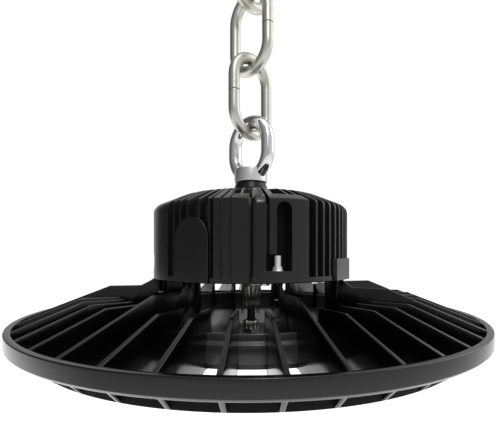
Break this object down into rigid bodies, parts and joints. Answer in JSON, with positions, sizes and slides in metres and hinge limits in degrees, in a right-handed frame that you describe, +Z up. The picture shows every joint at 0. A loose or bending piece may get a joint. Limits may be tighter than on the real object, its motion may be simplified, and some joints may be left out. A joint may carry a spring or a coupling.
{
  "type": "high bay light",
  "caption": "Round black high bay light with radial cooling fins and a finned driver drum, hung by a lifting eye on links of chain.",
  "frame": {"origin": "hanging point: inside the crown of the top link, where a hook would bear", "axes": "+Z up along the lamp's axis; -Y is the front, where the cable joins drum and pan; +X to the right seen from the front"},
  "size_m": [0.38, 0.38, 0.3778],
  "materials": {
    "black_casting": "gloss black paint",
    "link_steel": "satin nickel plate",
    "eye_steel": "polished",
    "zinc_steel": "bright zinc plate",
    "black_plastic": "matt",
    "cable_sheath": "matt",
    "seal_rubber": "matt",
    "heat_pad": "soft grey pad",
    "board_white": "white solder mask",
    "chip_yellow": "phosphor",
    "lens_clear": "clear",
    "circuit_green": "solder mask",
    "ferrite": "matt ferrite",
    "copper_coil": "taped winding",
    "can_sleeve": "plastic sleeve"
  },
  "bodies": {
    "suspension": {"chain_top_link": "link_steel"},
    "middle_link": {"chain_middle_link": "link_steel"},
    "lower_link": {"chain_lower_link": "link_steel"},
    "lamp": {"lifting_eye": "eye_steel", "top_collar": "black_plastic", "lock_washer": "zinc_steel", "hanging_stud": "zinc_steel", "stud_washer": "zinc_steel", "stud_nut": "zinc_steel", "heat_sink": "black_casting", "heat_pad": "heat_pad", "led_board": "board_white", "led_chips": "chip_yellow", "lens": "lens_clear", "lens_seal": "seal_rubber", "lens_ring": "black_casting", "lens_screws": "zinc_steel", "driver_housing": "black_casting", "driver_cover": "black_casting", "cover_seal": "seal_rubber", "cover_screws": "zinc_steel", "holding_studs": "zinc_steel", "holding_nuts": "zinc_steel", "upper_gland_body": "black_plastic", "upper_gland_nut": "black_plastic", "upper_gland_seal": "seal_rubber", "lower_gland_body": "black_plastic", "lower_gland_nut": "black_plastic", "lower_gland_seal": "seal_rubber", "mains_gland_body": "black_plastic", "mains_gland_nut": "black_plastic", "mains_gland_seal": "seal_rubber", "dc_cable": "cable_sheath", "board_pillars": "zinc_steel", "driver_board": "circuit_green", "transformer_core": "ferrite", "transformer_coil": "copper_coil", "smoothing_capacitors": "can_sleeve", "choke": "copper_coil"}
  },
  "joints": [
    {"name": "middle_link_swing", "type": "hinge", "parent": "suspension", "child": "middle_link", "pos_m": [0, 0, -0.0646], "axis": [0.7071, 0.7071, 0], "range_deg": [-60, 60]},
    {"name": "lower_link_swing", "type": "hinge", "parent": "middle_link", "child": "lower_link", "pos_m": [0, 0, -0.1239], "axis": [0.7071, -0.7071, 0], "range_deg": [-60, 60]},
    {"name": "lamp_swing", "type": "hinge", "parent": "lower_link", "child": "lamp", "pos_m": [0, 0, -0.1832], "axis": [0.7071, 0.7071, 0], "range_deg": [-60, 60]}
  ]
}
